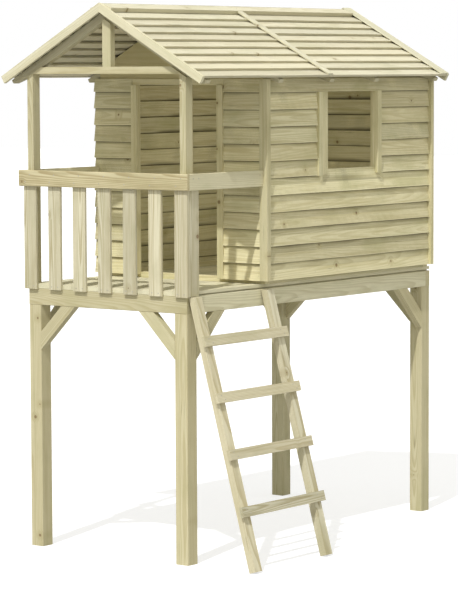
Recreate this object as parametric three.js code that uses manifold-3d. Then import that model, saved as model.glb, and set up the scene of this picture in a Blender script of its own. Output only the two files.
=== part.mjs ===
// A children's playhouse on four stilts: a lapped cabin with a small veranda under one ridged
// roof, on a framed platform that a ladder reaches. Millimetres, +Z up, ground at Z = 0.
// X runs across the house, Y along the ridge from the veranda to the rear, ladder on +X.
import * as THREE from 'three';
import { mergeVertices } from 'three/addons/utils/BufferGeometryUtils.js';
import Module from 'manifold-3d';

const wasm = await Module();
wasm.setup();

// Platform and stilts
const platformWidth = 1200;
const platformLength = 2515;
const stiltWidth = 90;
const stiltHeight = 1455;
const rimHeight = 100;
const rimThickness = 45;
const joistCount = 2;
const floorThickness = 28;
const floorBoardCount = 11;
const grooveWidth = 5;
const grooveDepth = 4;
const braceThickness = 45;
const braceReach = 265;
const braceWidth = 74;
const easedEdge = 3;
const seat = 0.3;

// Cabin walls of lapped boards on stud frames
const cabinFront = 715;
const cabinRearInset = 65;
const wallOverhang = 25;
const wallHeight = 1211;
const frameDepth = 45;
const studWidth = 45;
const leftStudShare = 0.43;
const plateHeight = 34;
const sidingGap = 20;
const sidingExposure = 101;
const sidingBoardWidth = 137;
const sidingThickness = 15;
const bedding = 2;
const cornerBattenWidth = 58;
const cornerBattenDepth = 37;
const cornerBattenProud = 10;
const rearBattenWidth = 30;
const rearBattenDepth = 50;
const gableThickness = 12;

// Doorway and window
const doorWidth = 615;
const doorShift = -13;
const doorTrimWidth = 43;
const doorTrimDepth = 38;
const doorStudSetBack = 35;
const windowFromFront = 825;
const windowWidth = 448;
const windowSillRow = 5;
const windowHeadRow = 11;
const windowPostWidth = 68;
const windowPostDepth = 74;
const windowStripWidth = 42;
const windowStripDepth = 41;

// Roof
const roofPitch = THREE.MathUtils.degToRad(29.1);
const slopeLength = 869;
const roofRowCount = 10;
const roofBoardWidth = 104;
const roofBoardThickness = 15;
const roofFrontOverhang = 30;
const roofRearOverhang = 20;
const roofJoint = 1195;
const rafterDepth = 50;
const rafterWidth = 45;
const rafterTailInset = 8;
const rafterTailCutDepth = 14;
const rearRafterFromJoint = 35;
const rearRafterFromEnd = 155;
const middleRafterShare = 0.42;
const bargeWidth = 47;
const bargeThickness = 20;
const bargeOverrun = 4;
const coverWidth = 50;
const coverThickness = 15;

// Veranda
const postWidth = 45;
const postDepth = 60;
const tieHeight = 41;
const tieThickness = 40;
const tieDrop = 6;
const kingPostWidth = 62;
const kingPostShift = 15;
const railHeight = 675;
const railWidth = 95;
const boardThickness = 20;
const picketCount = 7;
const picketWidth = 95;
const picketLap = 4;
const cornerBoardWidth = 92;

// Ladder
const ladderLean = THREE.MathUtils.degToRad(15.5);
const ladderInset = 15;
const stringerWidth = 63;
const stringerDepth = 45;
const stringerSpacing = 690;
const ladderTopGap = 3;
const rungCount = 4;
const rungHeight = 60;
const rungThickness = 22;
const rungOverhang = 22;
const firstRungDrop = 262;
const rungPitch = 319;

// Levels and planes that several pieces share
const halfWidth = platformWidth / 2;
const rimTop = stiltHeight + rimHeight;
const floorTop = rimTop + floorThickness;
const wallTop = floorTop + wallHeight;
const sidingBottom = floorTop + sidingGap;
const wallPlane = halfWidth + wallOverhang;
const cabinRear = platformLength - cabinRearInset;
const railTop = floorTop + railHeight;
const roofExposure = slopeLength / roofRowCount;
const cutRoom = stiltHeight;
const roofRearEnd = cabinRear + roofRearOverhang;
const frontRafterStarts = [0, cabinFront];
const firstRearRafter = roofJoint + rearRafterFromJoint;
const lastRearRafter = platformLength - rearRafterFromEnd;
const middleRearRafter = firstRearRafter + middleRafterShare * (lastRearRafter - firstRearRafter);
const rearRafterStarts = [firstRearRafter, middleRearRafter, lastRearRafter];

// Colours of pressure-treated pine, pale and yellow green
const pine = { frame: 0xc9c08d, deck: 0xc4bb85, cladding: 0xc2b980, roof: 0xdad4a8, trim: 0xd3cb9a };

const house = new THREE.Group();

function timberMaterial(colour) {
  return new THREE.MeshStandardMaterial({ color: colour, roughness: 0.8, metalness: 0 });
}

function place(name, geometry, colour) {
  const mesh = new THREE.Mesh(geometry, timberMaterial(colour));
  mesh.name = name;
  house.add(mesh);
}

// Extruding runs along local z, which these bases turn to the world axis of the length
const bases = {
  x: new THREE.Matrix4().makeBasis(
    new THREE.Vector3(0, 1, 0), new THREE.Vector3(0, 0, 1), new THREE.Vector3(1, 0, 0)),
  y: new THREE.Matrix4().makeBasis(
    new THREE.Vector3(0, 0, 1), new THREE.Vector3(1, 0, 0), new THREE.Vector3(0, 1, 0)),
  z: new THREE.Matrix4(),
};

// A prism whose outline is a list of [first, second] points across the length axis:
// [y, z] for a length along x, [x, z] along y and [x, y] along z
function prism(axis, outline, from, to) {
  const flat = axis === 'y' ? outline.map(([x, z]) => [z, x]) : outline;
  const shape = new THREE.Shape(flat.map(([u, v]) => new THREE.Vector2(u, v)));
  const geometry = new THREE.ExtrudeGeometry(shape, { depth: to - from, bevelEnabled: false });
  geometry.translate(0, 0, from);
  return geometry.applyMatrix4(bases[axis]);
}

// A planed timber that fills a box, with the four long edges eased
function timber(axis, [x0, x1], [y0, y1], [z0, z1]) {
  const sides = { x: [[y0, y1], [z0, z1]], y: [[x0, x1], [z0, z1]], z: [[x0, x1], [y0, y1]] }[axis];
  const [from, to] = { x: [x0, x1], y: [y0, y1], z: [z0, z1] }[axis];
  const [[a0, a1], [b0, b1]] = sides;
  const e = easedEdge;
  const outline = [
    [a0 + e, b0], [a1 - e, b0], [a1, b0 + e], [a1, b1 - e],
    [a1 - e, b1], [a0 + e, b1], [a0, b1 - e], [a0, b0 + e],
  ];
  return prism(axis, outline, from, to);
}

function block([x0, x1], [y0, y1], [z0, z1]) {
  return prism('z', [[x0, y0], [x1, y0], [x1, y1], [x0, y1]], z0, z1);
}

function solidOf(geometry) {
  const bare = geometry.clone();
  bare.deleteAttribute('normal');
  bare.deleteAttribute('uv');
  const merged = mergeVertices(bare);
  return new wasm.Manifold(new wasm.Mesh({
    numProp: 3,
    vertProperties: merged.attributes.position.array,
    triVerts: new Uint32Array(merged.index.array),
  }));
}

function joined(geometries) {
  return geometries.map(solidOf).reduce((whole, next) => whole.add(next));
}

function cut(solid, cutters) {
  return cutters.map(solidOf).reduce((rest, cutter) => rest.subtract(cutter), solid);
}

function geometryOf(solid) {
  const mesh = solid.getMesh();
  const geometry = new THREE.BufferGeometry();
  geometry.setAttribute('position', new THREE.BufferAttribute(mesh.vertProperties, 3));
  geometry.setIndex(new THREE.BufferAttribute(mesh.triVerts, 1));
  return geometry;
}

function mirrored(outline, side) {
  return outline.map(([x, z]) => [x * side, z]);
}

// Lapped boards: each board's foot rests on the board below and its head on the frame.
// Points are [along, out], where along climbs the wall or the roof and out is 0 on the frame.
function lapRise(exposure, width, thickness) {
  return thickness * width / exposure;
}

function lappedOutline(rows, exposure, width, thickness) {
  const rise = lapRise(exposure, width, thickness);
  const outer = [];
  const inner = [];
  for (let row = 0; row < rows; row += 1) {
    const foot = row * exposure;
    outer.push([foot, rise + thickness], [foot + exposure, rise]);
    inner.push([foot + width, 0], [foot + width, thickness]);
  }
  const head = (rows - 1) * exposure + width;
  inner.pop();
  return [[0, rise], ...outer, [head, thickness], ...inner.reverse()];
}

// Roof: u climbs the slope from the eave, t stands square off the rafters' top
const roofRise = lapRise(roofExposure, roofBoardWidth, roofBoardThickness);
const deckTop = roofRise + roofBoardThickness;
const roofSin = Math.sin(roofPitch);
const roofCos = Math.cos(roofPitch);
const roofTan = Math.tan(roofPitch);
const truss = rafterDepth + deckTop;
const ridgeTop = wallTop + seat + (wallPlane + truss * roofSin) * roofTan + truss * roofCos;

function roofPoint(u, t) {
  const down = slopeLength - u;
  const under = t - deckTop;
  return [down * roofCos + under * roofSin, ridgeTop - down * roofSin + under * roofCos];
}

// Height of the plane t at a distance x from the ridge
function roofHeight(x, t) {
  const under = t - deckTop;
  return ridgeTop - (x - under * roofSin) * roofTan + under * roofCos;
}

function slopeBand(u0, u1, t0, t1) {
  return [roofPoint(u0, t0), roofPoint(u1, t0), roofPoint(u1, t1), roofPoint(u0, t1)];
}

// Every roof piece runs past the ridge and is cut off on the ridge plane
const pastRidge = 2 * deckTop + rafterDepth;

function beyondRidge(side) {
  const far = side > 0 ? [-platformWidth, 0] : [0, platformWidth];
  return block(far, [-platformLength, 2 * platformLength], [0, 2 * ridgeTop]);
}

function rafter(side, start, tail, grow) {
  const [u0, t0] = [tail ? rafterTailInset : (slopeLength - wallPlane / roofCos), -rafterDepth];
  const u1 = slopeLength + pastRidge;
  const outline = [
    roofPoint(u0 - grow, bedding), roofPoint(u0 - grow, t0 + rafterTailCutDepth - grow),
    roofPoint(u0 + rafterTailCutDepth, t0 - grow), roofPoint(u1, t0 - grow), roofPoint(u1, bedding),
  ];
  return prism('y', mirrored(outline, side), start - grow, start + rafterWidth + grow);
}

function roofPanel(name, side, from, to, rafters) {
  const deck = lappedOutline(roofRowCount + 1, roofExposure, roofBoardWidth, roofBoardThickness)
    .map(([u, t]) => roofPoint(u, t));
  const parts = [prism('y', mirrored(deck, side), from, to), ...rafters];
  place(name, geometryOf(cut(joined(parts), [beyondRidge(side)])), pine.roof);
}

function buildRoof() {
  for (const [label, side] of [['left', -1], ['right', 1]]) {
    const frontRafters = frontRafterStarts.map((start) => rafter(side, start, true, 0));
    frontRafters.push(rafter(side, roofJoint - rafterWidth, false, 0));
    roofPanel(`roof_panel_front_${label}`, side, -roofFrontOverhang, roofJoint, frontRafters);
    const rearRafters = rearRafterStarts.map((start) => rafter(side, start, true, 0));
    roofPanel(`roof_panel_rear_${label}`, side, roofJoint, roofRearEnd, rearRafters);

    const barge = mirrored(
      slopeBand(-bargeOverrun, slopeLength + pastRidge, deckTop - bargeWidth, deckTop), side);
    const gables = [
      ['front', -roofFrontOverhang - bargeThickness, -roofFrontOverhang],
      ['rear', roofRearEnd, roofRearEnd + bargeThickness],
    ];
    for (const [end, from, to] of gables) {
      const board = cut(solidOf(prism('y', barge, from, to)), [beyondRidge(side)]);
      place(`barge_board_${end}_${label}`, geometryOf(board), pine.roof);
    }

    const cover = mirrored(
      slopeBand(0, slopeLength + pastRidge, deckTop + seat, deckTop + seat + coverThickness), side);
    const strip = prism('y', cover, roofJoint - coverWidth / 2, roofJoint + coverWidth / 2);
    place(`roof_cover_strip_${label}`, geometryOf(cut(solidOf(strip), [beyondRidge(side)])), pine.roof);
  }
}

// Notches for the rafters that pass over the side walls
function rafterNotches(side) {
  return [...frontRafterStarts, ...rearRafterStarts].map((start) => rafter(side, start, true, seat));
}

const sidingRise = lapRise(sidingExposure, sidingBoardWidth, sidingThickness);
const sidingOuter = sidingRise + sidingThickness;
const sidingRows = Math.ceil((wallTop - sidingBottom) / sidingExposure);

// Siding outline as [out, z] beyond a wall's frame plane
function sidingOutline(plane, direction) {
  return lappedOutline(sidingRows, sidingExposure, sidingBoardWidth, sidingThickness)
    .map(([along, out]) => [plane + direction * out, sidingBottom + along]);
}

function aboveWall() {
  const reach = platformLength + platformWidth;
  return block([-reach, reach], [-reach, reach], [wallTop, wallTop + cutRoom]);
}

function bottomPlate(x, y) {
  return block(x, y, [floorTop, floorTop + plateHeight]);
}

function topPlate(x, y) {
  return block(x, y, [wallTop - plateHeight, wallTop]);
}

const studZ = [floorTop + plateHeight / 2, wallTop - plateHeight / 2];

// The frame of an end wall, with studs that start at the given places along x
function endFrame(plane, direction, studStarts) {
  const y = direction < 0 ? [plane - bedding, plane + frameDepth] : [plane - frameDepth, plane + bedding];
  const x = [-wallPlane, wallPlane];
  const studs = studStarts.map((start) => block([start, start + studWidth], y, studZ));
  return [bottomPlate(x, y), topPlate(x, y), ...studs];
}

function frontWall() {
  const doorLeft = doorShift - doorWidth / 2;
  const doorRight = doorShift + doorWidth / 2;
  const inside = wallPlane - cornerBattenInside;
  const siding = prism('x', sidingOutline(cabinFront, -1), seat - inside, inside - seat);
  const studs = [-wallPlane, doorLeft - doorStudSetBack - studWidth, doorRight + doorStudSetBack,
    wallPlane - studWidth];
  const wall = cut(joined([siding, ...endFrame(cabinFront, -1, studs)]), [
    block([doorLeft - doorTrimWidth, doorRight + doorTrimWidth],
      [cabinFront - sidingOuter - cutRoom, cabinFront - bedding], [0, wallTop]),
    block([doorLeft, doorRight], [0, cabinFront + 2 * frameDepth],
      [floorTop + plateHeight, wallTop - plateHeight]),
    aboveWall(),
  ]);
  const trimY = [cabinFront - doorTrimDepth, cabinFront];
  const trims = [[doorLeft - doorTrimWidth, doorLeft], [doorRight, doorRight + doorTrimWidth]]
    .map((x) => timber('z', x, trimY, [sidingBottom, wallTop]));
  place('front_wall', geometryOf(joined(trims).add(wall)), pine.cladding);
}

function rearWall() {
  const siding = prism('x', sidingOutline(cabinRear, 1), -wallPlane, wallPlane);
  const quarter = wallPlane / 2;
  const studs = [-wallPlane, -quarter - studWidth / 2, quarter - studWidth / 2, wallPlane - studWidth];
  const wall = cut(joined([siding, ...endFrame(cabinRear, 1, studs)]), [aboveWall()]);
  place('rear_wall', geometryOf(wall), pine.cladding);
}

// The part of the front corner batten that stands in front of the cabin's front frame
const cornerBattenInside = cornerBattenWidth - sidingOuter - cornerBattenProud;
const sideFrameY = [cabinFront + frameDepth, cabinRear - frameDepth];

// The frame of a side wall; side is 1 on the ladder's side and -1 opposite
function sideFrame(side, studStarts) {
  const x = outwards(side, frameDepth, bedding);
  const studs = studStarts.map((start) => block(x, [start, start + studWidth], studZ));
  return [bottomPlate(x, sideFrameY), topPlate(x, sideFrameY), ...studs];
}

// Out from the wall's plane by the second reach and back from it by the first
function outwards(side, back, out) {
  const span = [side * (wallPlane - back), side * (wallPlane + out)];
  return side > 0 ? span : span.reverse();
}

function frontCornerBatten(side) {
  const x = outwards(side, cornerBattenInside, sidingOuter + cornerBattenProud);
  return timber('z', x, [cabinFront - cornerBattenDepth, cabinFront - bedding], [sidingBottom, wallTop]);
}

function rearCornerBatten(side) {
  const y = [cabinRear - rearBattenWidth, cabinRear];
  return timber('z', outwards(side, 0, rearBattenDepth), y, [sidingBottom, wallTop]);
}

function leftWall() {
  const from = cabinFront - sidingThickness;
  const siding = prism('y', sidingOutline(-wallPlane, -1), from, cabinRear - rearBattenWidth);
  const [first, last] = sideFrameY;
  const studs = [first, first + leftStudShare * (last - first), last - studWidth];
  const parts = [siding, frontCornerBatten(-1), rearCornerBatten(-1), ...sideFrame(-1, studs)];
  const wall = cut(joined(parts), [aboveWall(), ...rafterNotches(-1)]);
  place('left_wall', geometryOf(wall), pine.cladding);
}

// The window takes the boards between its sill row and its head row. The sill is the bare
// head of the board below, so the cut follows that board's face and the next one's back.
function windowCut(from, to) {
  const foot = windowSillRow * sidingExposure;
  const head = windowHeadRow * sidingExposure;
  const points = [
    [foot + sidingExposure, sidingRise], [foot + sidingBoardWidth, sidingThickness],
    [foot + sidingBoardWidth, -cutRoom], [head + sidingBoardWidth - sidingExposure, -cutRoom],
    [head + sidingBoardWidth - sidingExposure, sidingThickness], [head, sidingRise],
    [head, cutRoom], [foot + sidingExposure, cutRoom],
  ];
  const outline = points.map(([along, out]) => [wallPlane + out, sidingBottom + along]);
  return prism('y', outline, from, to);
}

function rightWall() {
  const opening = [cabinFront + windowFromFront - windowWidth / 2,
    cabinFront + windowFromFront + windowWidth / 2];
  const posts = [[opening[0] - windowPostWidth, opening[0]], [opening[1], opening[1] + windowPostWidth]];
  const strips = [[posts[0][0] - windowStripWidth, posts[0][0]],
    [posts[1][1], posts[1][1] + windowStripWidth]];
  const sill = sidingBottom + windowSillRow * sidingExposure + sidingBoardWidth;
  const head = sidingBottom + windowHeadRow * sidingExposure;
  const [first, last] = sideFrameY;

  const siding = prism('y', sidingOutline(wallPlane, 1), cabinFront - sidingThickness,
    cabinRear - rearBattenWidth);
  const cladding = cut(solidOf(siding), [windowCut(strips[0][0], strips[1][1]), aboveWall()]);
  const inside = wallPlane - frameDepth;
  const trims = strips.map((y) => block([wallPlane, wallPlane + windowStripDepth], y,
    [sill - (sidingBoardWidth - sidingExposure) - bedding, head]));
  const jambs = posts.map((y) => block([inside, inside + windowPostDepth], y, [sill - plateHeight, head]));
  const studs = [first, last - studWidth];
  const longStuds = posts.map((y) => block([inside, wallPlane + bedding], y, studZ));
  const frame = joined([...sideFrame(1, studs), ...longStuds, ...jambs, ...trims]);
  const corners = joined([frontCornerBatten(1), rearCornerBatten(1)]);
  const wall = cut(cladding.add(frame).add(corners), rafterNotches(1));
  place('right_wall', geometryOf(wall), pine.cladding);
}

// Plain boarded triangles that close the cabin's two gables above the walls
function buildGables() {
  const shoulder = roofHeight(wallPlane, -seat);
  const outline = [
    [-wallPlane, wallTop], [wallPlane, wallTop], [wallPlane, shoulder],
    [0, roofHeight(0, -seat)], [-wallPlane, shoulder],
  ];
  const sheets = [
    ['front_gable', cabinFront - gableThickness, cabinFront],
    ['rear_gable', cabinRear, cabinRear + gableThickness],
  ];
  for (const [name, from, to] of sheets) {
    place(name, prism('y', outline, from, to), pine.cladding);
  }
}

function buildPlatform() {
  const inner = platformLength - stiltWidth;
  for (const [end, y] of [['front', 0], ['rear', inner]]) {
    for (const [label, x] of [['left', -halfWidth], ['right', halfWidth - stiltWidth]]) {
      const stilt = timber('z', [x, x + stiltWidth], [y, y + stiltWidth], [0, stiltHeight]);
      place(`stilt_${end}_${label}`, stilt, pine.frame);
    }
  }
  const z = [stiltHeight, rimTop];
  const whole = [-halfWidth, halfWidth];
  place('rim_beam_front', timber('x', whole, [0, rimThickness], z), pine.frame);
  place('rim_beam_rear', timber('x', whole, [platformLength - rimThickness, platformLength], z), pine.frame);
  const between = [rimThickness, platformLength - rimThickness];
  place('rim_beam_left', timber('y', [-halfWidth, rimThickness - halfWidth], between, z), pine.frame);
  place('rim_beam_right', timber('y', [halfWidth - rimThickness, halfWidth], between, z), pine.frame);
  for (let index = 1; index <= joistCount; index += 1) {
    const y = platformLength * index / (joistCount + 1) - rimThickness / 2;
    const x = [rimThickness - halfWidth, halfWidth - rimThickness];
    place(`joist_${index}`, timber('x', x, [y, y + rimThickness], z), pine.frame);
  }
}

// Tongue-and-groove boards along Y, with a V groove over each joint
function buildFloor() {
  const boardWidth = platformWidth / floorBoardCount;
  const top = [];
  for (let joint = 1; joint < floorBoardCount; joint += 1) {
    const x = -halfWidth + joint * boardWidth;
    top.push([x - grooveWidth / 2, floorTop], [x, floorTop - grooveDepth], [x + grooveWidth / 2, floorTop]);
  }
  const outline = [[halfWidth, rimTop], [-halfWidth, rimTop], [-halfWidth, floorTop], ...top,
    [halfWidth, floorTop]];
  place('floor_boards', prism('y', outline, 0, platformLength), pine.deck);
}

// A brace is a band at 45 degrees between a stilt and the beam on it, cut flat at both ends
function braceOutline(corner, direction) {
  const short = braceReach - braceWidth * Math.SQRT2;
  return [[0, -braceReach], [braceReach, 0], [short, 0], [0, -short]]
    .map(([out, down]) => [corner + direction * out, stiltHeight + down]);
}

function buildBraces() {
  const inX = halfWidth - stiltWidth;
  const spans = { front: [0, braceThickness], rear: [platformLength - braceThickness, platformLength] };
  for (const [end, span] of Object.entries(spans)) {
    for (const [label, side] of [['left', -1], ['right', 1]]) {
      const across = prism('y', braceOutline(side * inX, -side), ...span);
      place(`brace_across_${end}_${label}`, across, pine.frame);
      const corner = end === 'front' ? stiltWidth : platformLength - stiltWidth;
      const outer = side > 0 ? halfWidth - braceThickness : -halfWidth;
      const along = prism('x', braceOutline(corner, end === 'front' ? 1 : -1), outer, outer + braceThickness);
      place(`brace_along_${end}_${label}`, along, pine.frame);
    }
  }
}

function buildVerandaFrame() {
  const inner = halfWidth - postWidth;
  const under = -rafterDepth - seat;
  for (const [label, side] of [['left', -1], ['right', 1]]) {
    const outline = [
      [inner, floorTop], [halfWidth, floorTop],
      [halfWidth, roofHeight(halfWidth, under)], [inner, roofHeight(inner, under)],
    ];
    place(`veranda_post_${label}`, prism('y', mirrored(outline, side), 0, postDepth), pine.frame);
  }
  const shoulder = roofHeight(inner, under);
  const tieBottom = shoulder - tieDrop;
  const tieTop = tieBottom + tieHeight;
  const tieEnd = inner - (tieTop - shoulder) / roofTan;
  const tie = [[-inner, tieBottom], [inner, tieBottom], [inner, shoulder], [tieEnd, tieTop],
    [-tieEnd, tieTop], [-inner, shoulder]];
  place('gable_tie_beam', prism('y', tie, 0, tieThickness), pine.frame);
  const half = kingPostWidth / 2;
  const [left, right] = [kingPostShift - half, kingPostShift + half];
  const king = [[left, tieTop], [right, tieTop], [right, roofHeight(right, under)],
    [0, roofHeight(0, under)], [left, roofHeight(-left, under)]];
  place('king_post', prism('y', king, 0, tieThickness), pine.frame);
}

function buildRailing() {
  const outer = halfWidth + boardThickness;
  const railZ = [railTop - railWidth, railTop];
  const railEnd = outer + boardThickness;
  const front = timber('x', [-railEnd, railEnd], [-2 * boardThickness, -boardThickness], railZ);
  place('front_rail', front, pine.trim);
  const picketZ = [rimTop - picketLap, railTop - picketLap];
  const pitch = (2 * outer - picketWidth) / (picketCount - 1);
  for (let index = 0; index < picketCount; index += 1) {
    const x = -outer + index * pitch;
    const picket = timber('z', [x, x + picketWidth], [-boardThickness, 0], picketZ);
    place(`picket_${index + 1}`, picket, pine.trim);
  }
  const boardZ = [rimTop, railTop - picketLap];
  const railY = [-boardThickness, cabinFront - cornerBattenDepth];
  const sides = [
    ['left', [-outer, -halfWidth], [-railEnd, -outer]],
    ['right', [halfWidth, outer], [outer, railEnd]],
  ];
  for (const [label, boardX, railX] of sides) {
    place(`corner_board_${label}`, timber('z', boardX, [0, cornerBoardWidth], boardZ), pine.trim);
    place(`side_rail_${label}`, timber('y', railX, railY, railZ), pine.trim);
  }
}

// Ladder: a climbs the stringers from the top corner at the rim, b stands off their back
function ladderPoint(a, b) {
  const x = halfWidth + seat + a * Math.sin(ladderLean) + b * Math.cos(ladderLean);
  return [x, rimTop - ladderTopGap - a * Math.cos(ladderLean) + b * Math.sin(ladderLean)];
}

function buildLadder() {
  const length = (rimTop - ladderTopGap) / Math.cos(ladderLean);
  const levelCut = stringerDepth * Math.tan(ladderLean);
  const side = [ladderPoint(0, 0), ladderPoint(levelCut, stringerDepth),
    ladderPoint(length, stringerDepth), ladderPoint(length, 0)];
  const starts = [['front', ladderInset], ['rear', ladderInset + stringerSpacing]];
  for (const [label, start] of starts) {
    place(`ladder_stringer_${label}`, prism('y', side, start, start + stringerWidth), pine.trim);
  }
  const from = ladderInset - rungOverhang;
  const to = ladderInset + stringerSpacing + stringerWidth + rungOverhang;
  const back = stringerDepth + seat;
  for (let index = 0; index < rungCount; index += 1) {
    const middle = (firstRungDrop + index * rungPitch) / Math.cos(ladderLean);
    const top = middle - rungHeight / 2;
    const bottom = middle + rungHeight / 2;
    const outline = [ladderPoint(top, back), ladderPoint(top, back + rungThickness),
      ladderPoint(bottom, back + rungThickness), ladderPoint(bottom, back)];
    place(`ladder_rung_${index + 1}`, prism('y', outline, from, to), pine.trim);
  }
}

buildPlatform();
buildBraces();
buildFloor();
frontWall();
rearWall();
leftWall();
rightWall();
buildGables();
buildVerandaFrame();
buildRailing();
buildRoof();
buildLadder();

// The origin is on the ground, under the middle of the whole outline
const bounds = new THREE.Box3().setFromObject(house);
const middle = bounds.getCenter(new THREE.Vector3());
house.position.set(-middle.x, -middle.y, 0);
house.updateMatrixWorld(true);

export default house;
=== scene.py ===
import math

import bmesh
import bpy
from mathutils import Matrix, Vector, noise


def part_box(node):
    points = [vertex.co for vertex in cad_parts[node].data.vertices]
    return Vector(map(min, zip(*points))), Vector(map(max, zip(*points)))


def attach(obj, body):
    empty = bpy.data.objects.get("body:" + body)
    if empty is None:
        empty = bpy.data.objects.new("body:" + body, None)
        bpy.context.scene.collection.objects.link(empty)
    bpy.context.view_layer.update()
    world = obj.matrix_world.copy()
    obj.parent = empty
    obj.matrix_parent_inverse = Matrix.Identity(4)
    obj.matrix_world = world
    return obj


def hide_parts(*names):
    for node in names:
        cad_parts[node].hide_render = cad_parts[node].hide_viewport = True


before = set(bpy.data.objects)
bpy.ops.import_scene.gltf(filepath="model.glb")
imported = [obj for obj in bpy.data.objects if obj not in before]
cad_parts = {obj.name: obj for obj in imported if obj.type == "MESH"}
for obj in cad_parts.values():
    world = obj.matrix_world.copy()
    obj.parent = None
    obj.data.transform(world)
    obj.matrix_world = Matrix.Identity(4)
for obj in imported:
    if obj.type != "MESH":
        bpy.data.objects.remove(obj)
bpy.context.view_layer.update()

# The photograph's viewpoint: a long lens about sixteen metres off the front right corner, held
# at the height of the walls and tipped down a little.
film_width = 36
lens_in_pixels = 2761.89
picture_height = 599
camera_from_front = Vector((10.36038, -12.32946, 2.86664))
camera_turn = 0.654295
camera_pitch = -0.084176
camera_roll = -0.003977
deck_low, deck_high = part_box("floor_boards")
middle_x = (deck_low.x + deck_high.x) / 2
front_y = deck_low[1]
house_corner = Vector((middle_x, front_y, 0))
photo_lens = bpy.data.cameras.new("photo_lens")
photo_lens.sensor_width = film_width
photo_lens.lens = film_width * lens_in_pixels / picture_height
photo_camera = bpy.data.objects.new("photo_camera", photo_lens)
bpy.context.scene.collection.objects.link(photo_camera)
sight = Vector((-math.sin(camera_turn) * math.cos(camera_pitch),
                math.cos(camera_turn) * math.cos(camera_pitch), math.sin(camera_pitch)))
level_right = Vector((math.cos(camera_turn), math.sin(camera_turn), 0))
level_up = level_right.cross(sight)
picture_right = level_right * math.cos(camera_roll) + level_up * math.sin(camera_roll)
picture_up = level_up * math.cos(camera_roll) - level_right * math.sin(camera_roll)
photo_camera.matrix_world = Matrix.Translation(house_corner + camera_from_front) @ Matrix(
    (picture_right, picture_up, -sight)).transposed().to_4x4()
bpy.context.scene.camera = photo_camera

# Stilts: four square posts of planed, pressure-treated pine, ends sawn square. The treatment
# leaves the pale wood yellow green. One finish holds rings, knots, fibre and drying cracks.
sideways = Vector((1, 0, 0))
ahead = Vector((0, 1, 0))
up = Vector((0, 0, 1))
# Width of the band of painted lap shade and painted shadow lines on lapped boards.
lap_shade_width = 0.010


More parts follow.
